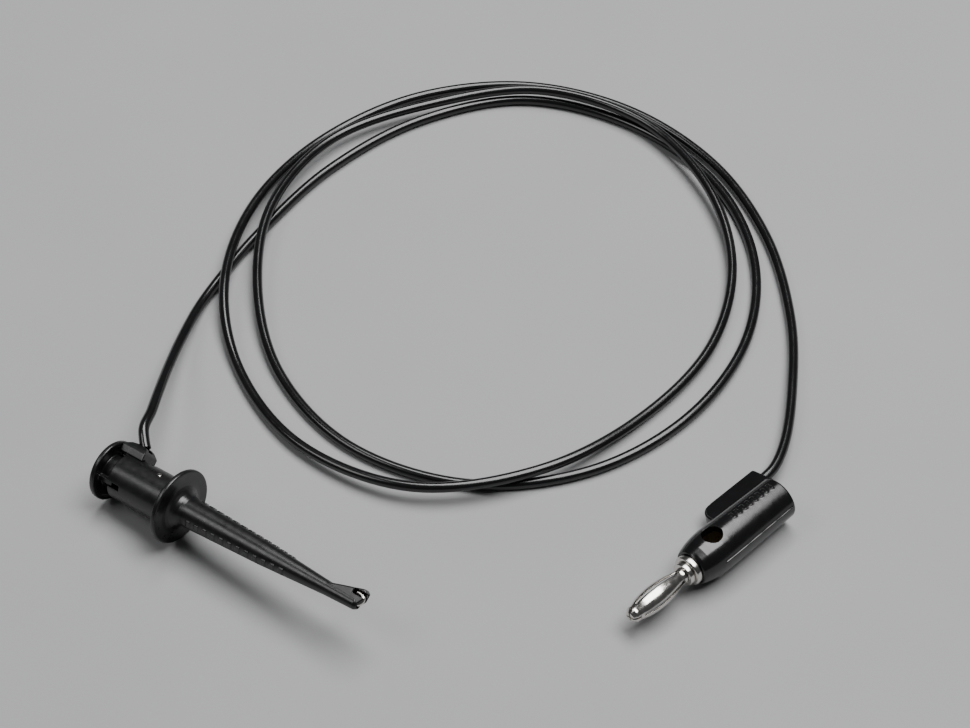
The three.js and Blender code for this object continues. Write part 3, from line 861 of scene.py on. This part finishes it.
def add_plug_body():
    body = lathe("plug_body_skin", rounded([
        (BODY_FRONT, 0, 0),
        (BODY_FRONT, 3.35, 0.18),
        (16.1, 3.62, 0),
        (17.4, 3.98, 0),
        (18.6, 4.20, 0),
        (19.8, 4.35, 0),
        (21.2, BODY_R, 0),
        (BODY_WIDEST, BODY_R, 0),
        (BODY_REAR, BODY_REAR_R, 0.3),
        (BODY_REAR, 0, 0),
    ]), sides=128)
    seam = prism("seam", [
        (20.1, -4),
        (20.1, -4.36 - SEAM),
        (22.8, -BODY_R - SEAM),
        (38.0, -BODY_REAR_R - SEAM),
        (38.0, -3.7),
    ], SEAM_HALF)
    join(body, prism("fin", fin_outline(), FIN_HALF, 0.3), seam, *body_ribs())
    room = lathe("room", [
        (BODY_FRONT - 0.9, CORE_NOSE_R + GAP),
        (CORE_STEP - GAP, CORE_NOSE_R + GAP),
        (CORE_STEP - GAP, CORE_R + GAP),
        (CORE_REAR + GAP, CORE_R + GAP),
        (CORE_REAR + GAP, JACK_R + 0.2),
        (42, JACK_R + 0.2),
    ])
    cross = radial_rod("cross", CROSS_HOLE_X, CROSS_HOLE_ANGLE, -6, 6, CROSS_HOLE_R)
    rims = [
        radial_rod("rim", CROSS_HOLE_X, CROSS_HOLE_ANGLE + turn, 3.8, 5.2, 1.5, 2.6)
        for turn in (0, 180)
    ]
    channel = rod("channel", (33, CHANNEL_Y, 0), (42, CHANNEL_Y, 0), CHANNEL_R)
    wire_hole = rod("wire_hole", (CONDUCTOR_X, 0, 0), (CONDUCTOR_X, CHANNEL_Y, 0), 0.7)
    cut(body, room, cross, *rims, channel, wire_hole)
    mould(body, 0.08, 3, 0.5)
    finish_piece(body, PLUG_PLACE, PLUG_PLASTIC, LEAD, ["plug_body"], crisp=0)


def add_contact_pin():
    pin = lathe("contact_pin_metal", rounded([
        (0, 0, 0),
        (0, 0.95, 0.35),
        (0.75, 1.55, 0.3),
        (1.3, 1.55, 0.05),
        (1.3, SHANK_R, 0),
        (SHANK_END, SHANK_R, 0.1),
        (SHANK_END, 0, 0),
    ]))
    slits = [
        block("slit", (-1, -3, -0.16), (1.36, 3, 0.16), 0, angle) for angle in SLOT_ANGLES
    ]
    cut(pin, *slits)
    soften(pin, 0.05)
    finish_piece(pin, PLUG_PLACE, NICKEL, LEAD, ["contact_pin"])


def add_leaf_basket():
    outer = [(point.x, point.y) for point in smooth_line([(x, r, 0) for x, r in LEAVES], 6)]
    inner = [(x, r - LEAF_WALL) for x, r in reversed(outer)]
    basket = lathe("leaf_basket_metal", outer + inner, hollow=True)
    slots = [
        block("slot", (2.0, -3, -0.35), (12.5, 3, 0.35), 0, angle) for angle in SLOT_ANGLES
    ]
    cut(basket, *slots)
    soften(basket, 0.05)
    finish_piece(basket, PLUG_PLACE, NICKEL, LEAD, ["leaf_basket"])


def add_turned_rings():
    bore = SHANK_R + GAP
    collar = lathe("pin_collar_metal", rounded([
        (13.2, bore, 0), (13.2, 2.25, 0.2), (14.2, 2.25, 0.12), (14.2, bore, 0),
    ]), hollow=True)
    finish_piece(collar, PLUG_PLACE, NICKEL, LEAD, ["pin_collar"], crisp=50)
    ring = lathe("retaining_ring_metal", rounded([
        (14.26, bore, 0), (14.26, 2.9, 0.35), (15.44, 2.9, 0.1), (15.44, bore, 0),
    ]), hollow=True)
    finish_piece(ring, PLUG_PLACE, NICKEL, LEAD, ["retaining_ring"], crisp=50)


def add_socket_core():
    core = lathe("socket_core_metal", rounded([
        (15.6, 0, 0), (15.6, CORE_NOSE_R, 0.1), (CORE_STEP, CORE_NOSE_R, 0.05),
        (CORE_STEP, CORE_R, 0.15), (CORE_REAR, CORE_R, 0.15), (CORE_REAR, 0, 0),
    ]))
    stud = rod("stud", (10, 0, 0), (SHANK_END + GAP, 0, 0), SHANK_R + GAP)
    jack = rod("jack", (24.2, 0, 0), (36, 0, 0), JACK_R, 64)
    mouth = rod("mouth", (33.9, 0, 0), (34.6, 0, 0), JACK_R - 0.1, 64, JACK_R + 0.5)
    cross = radial_rod("cross", CROSS_HOLE_X, CROSS_HOLE_ANGLE, -6, 6, CROSS_HOLE_R)
    cut(core, stud, jack, mouth, cross)
    soften(core, 0.06)
    finish_piece(core, PLUG_PLACE, BRASS, LEAD, ["socket_core"])


# ---------------------------------------------------------------- hidden pieces kept from CAD

KEPT_NODES = {
    "solder_terminal": BRASS,
    "spring_washer": STEEL,
    "crimp_ferrule": COPPER,
    "hook_conductor": COPPER,
    "plug_conductor": COPPER,
}


def paint_kept_nodes():
    for name, material in KEPT_NODES.items():
        mesh = frame["nodes"][name].data
        mesh.materials.clear()
        mesh.materials.append(material)


add_camera()
add_cord()
add_studio()
add_table()
add_nose_sleeve()
add_thumb_plunger()
add_wire_boss()
add_hook_rod()
add_return_spring()
add_stop_pin()
add_plug_body()
add_contact_pin()
add_leaf_basket()
add_turned_rings()
add_socket_core()
paint_kept_nodes()
